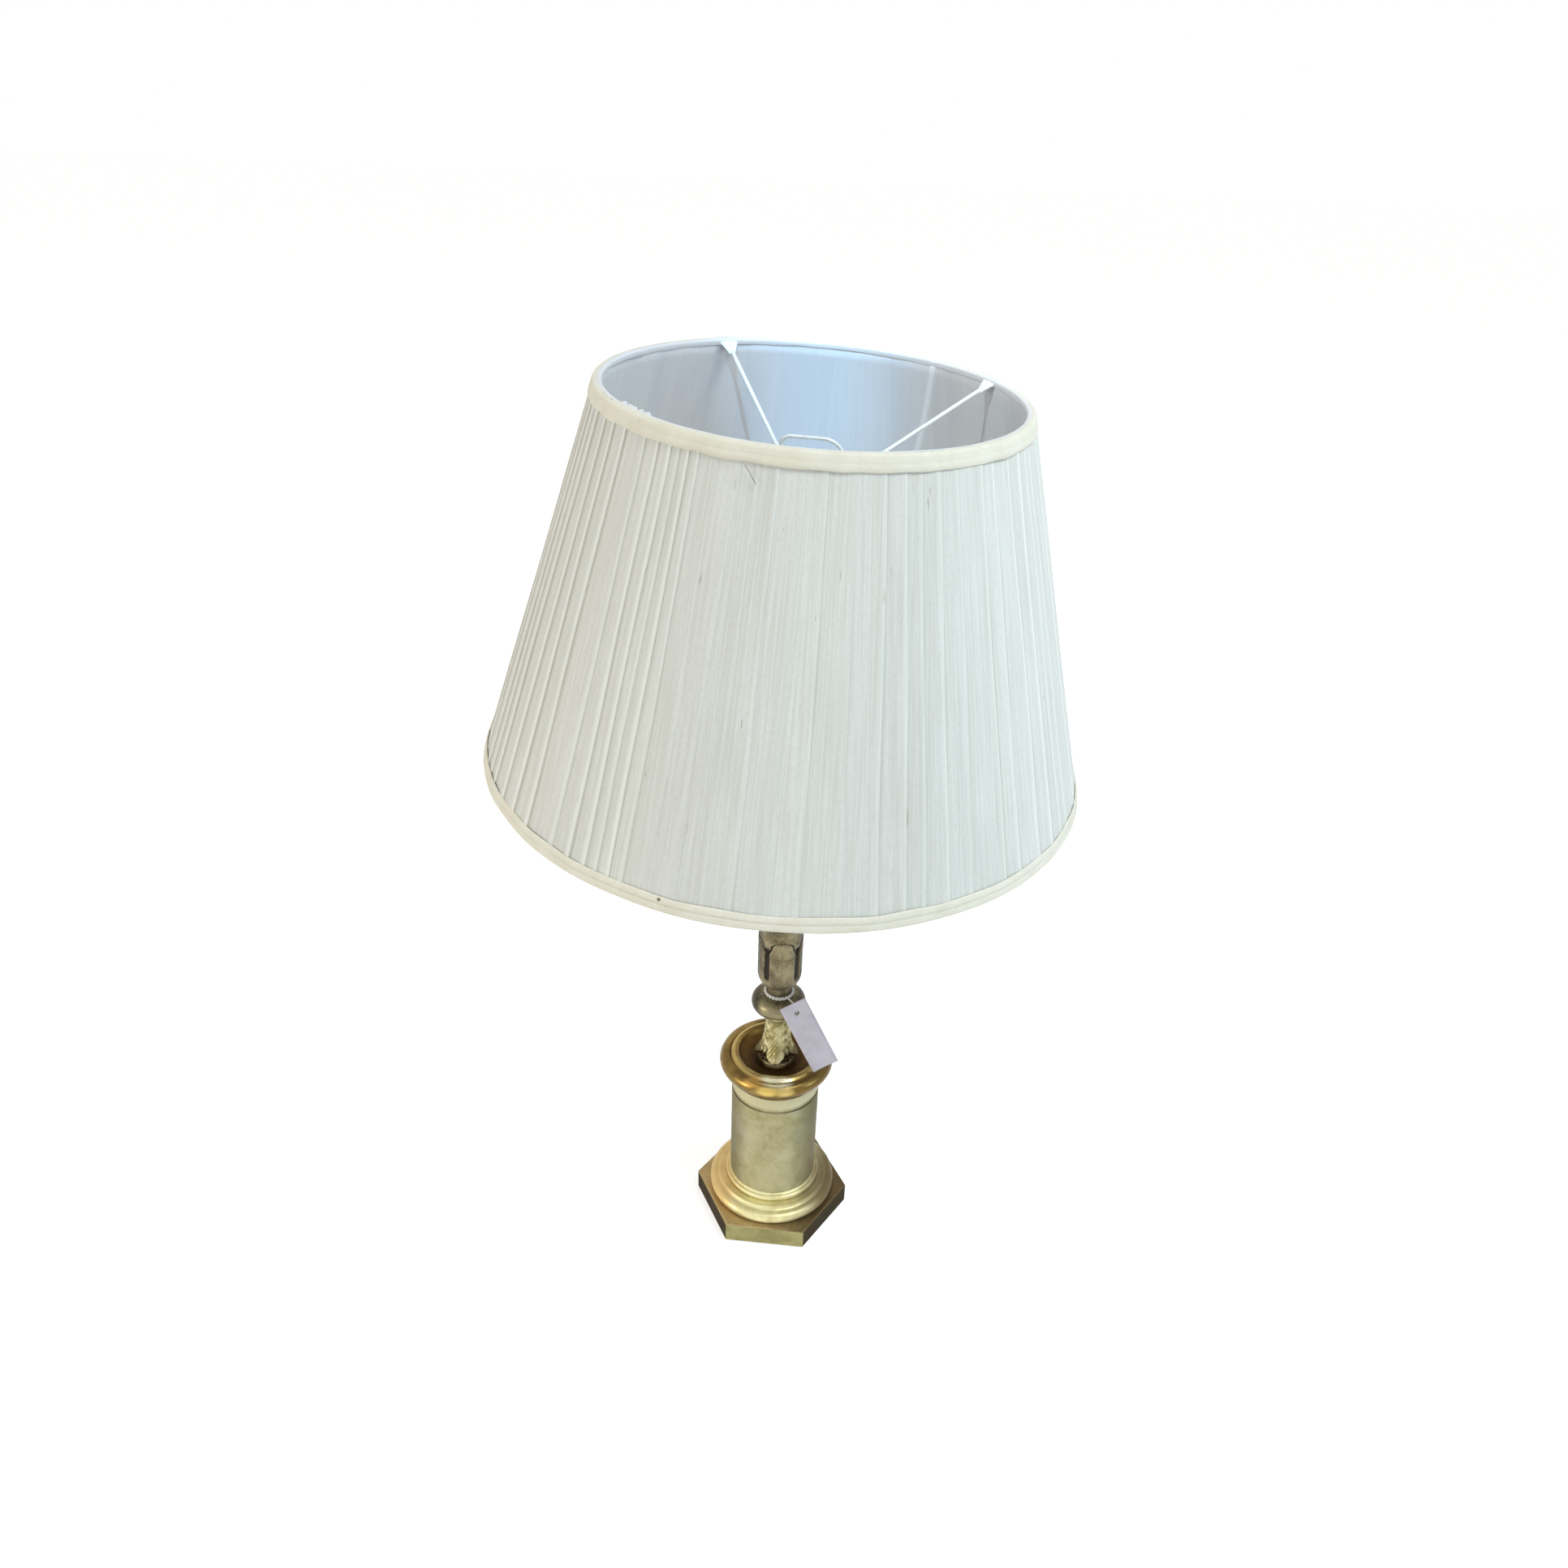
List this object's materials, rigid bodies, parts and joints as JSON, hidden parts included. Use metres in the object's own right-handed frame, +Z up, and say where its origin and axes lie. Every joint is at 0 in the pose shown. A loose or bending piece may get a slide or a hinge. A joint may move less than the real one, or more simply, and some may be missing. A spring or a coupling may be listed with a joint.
{
  "type": "candlestick lamp",
  "caption": "Table lamp with a hexagonal plinth, turned column, leaf-cast stem, candle tube, bayonet lampholder and leaning pleated drum shade.",
  "frame": {"origin": "centre of the felt pad's underside, on the lamp's own axis, where the lamp stands", "axes": "+Z up the stem; -Y towards the viewer, square to one flat of the plinth; the cord inlet faces +Y"},
  "size_m": [0.3995, 0.3993, 0.67],
  "materials": {
    "felt": "matte",
    "aged_brass": "satin",
    "black_rubber": "matte",
    "ballast_iron": "matte",
    "zinc_steel": "satin",
    "cream_patina": "satin",
    "polished_brass": "polished",
    "cast_brass": "satin",
    "bronze_brown": "satin",
    "ivory_plastic": "satin",
    "white_plastic": "gloss",
    "plated_steel": "satin",
    "contact_brass": "satin",
    "black_plastic": "gloss",
    "bulb_glass": "satin",
    "white_wire": "gloss",
    "white_tape": "matte",
    "cover_silk": "matte",
    "lining_cloth": "matte",
    "trim_silk": "matte",
    "string": "matte",
    "tag_card": "matte"
  },
  "bodies": {
    "lamp": {"felt_pad": "felt", "hex_plinth": "aged_brass", "cord_grommet": "black_rubber", "ballast_weight": "ballast_iron", "bottom_washer": "zinc_steel", "bottom_nut": "zinc_steel", "tie_rod": "zinc_steel", "base_moulding": "aged_brass", "foot_ring": "aged_brass", "column": "cream_patina", "capital_dish": "polished_brass", "leaf_vase": "cast_brass", "knop": "bronze_brown", "waist_collar": "bronze_brown", "fluted_stem": "bronze_brown", "drip_pan": "bronze_brown", "candle_nozzle": "bronze_brown", "stem_lock_nut": "zinc_steel", "candle_tube": "ivory_plastic", "lampholder_cap": "polished_brass", "lampholder_body": "polished_brass", "insulator_foot": "white_plastic", "lampholder_insulator": "white_plastic", "bulb_socket": "plated_steel", "shade_ring": "white_plastic", "carrier_ring": "white_wire", "carrier_hoop": "white_wire", "waist_string": "string"},
    "plungers": {"contact_plungers": "contact_brass", "contact_springs": "zinc_steel"},
    "switch": {"switch_bar": "black_plastic"},
    "bulb": {"bulb_cap": "plated_steel", "bulb_glass": "bulb_glass", "bulb_stem": "white_plastic"},
    "shade": {"gimbal_ring": "white_wire", "gimbal_arm_1": "white_wire", "gimbal_arm_2": "white_wire", "gimbal_arm_3": "white_wire", "gimbal_arm_4": "white_wire", "top_ring": "white_wire", "bottom_ring": "white_wire", "shade_struts": "white_wire", "arm_tapes": "white_tape", "shade_cover": "cover_silk", "shade_lining": "lining_cloth", "top_trim": "trim_silk", "bottom_trim": "trim_silk"},
    "tag": {"paper_tag": "tag_card", "string_link": "string"}
  },
  "joints": [
    {"name": "shade_swivel", "type": "hinge", "parent": "lamp", "child": "shade", "pos_m": [0, 0, 0.499], "axis": [0.0487, -0.0593, 0.9971], "continuous": true},
    {"name": "bulb_twist", "type": "hinge", "parent": "lamp", "child": "bulb", "pos_m": [0, 0, 0.505], "axis": [0, 0, 1], "range_deg": [0, 20]},
    {"name": "switch_push", "type": "slide", "parent": "lamp", "child": "switch", "axis": [1, 0, 0], "range_m": [0, 0.006]},
    {"name": "contact_press", "type": "slide", "parent": "lamp", "child": "plungers", "axis": [0, 0, -1], "range_m": [0, 0.0015], "stiffness_N_per_m": 300, "springref_m": -0.002, "deforming": ["contact_springs"]},
    {"name": "tag_swing", "type": "hinge", "parent": "lamp", "child": "tag", "pos_m": [0.00662, -0.00789, 0.2147], "axis": [-0.9744, -0.225, 0], "range_deg": [0, 30]}
  ]
}
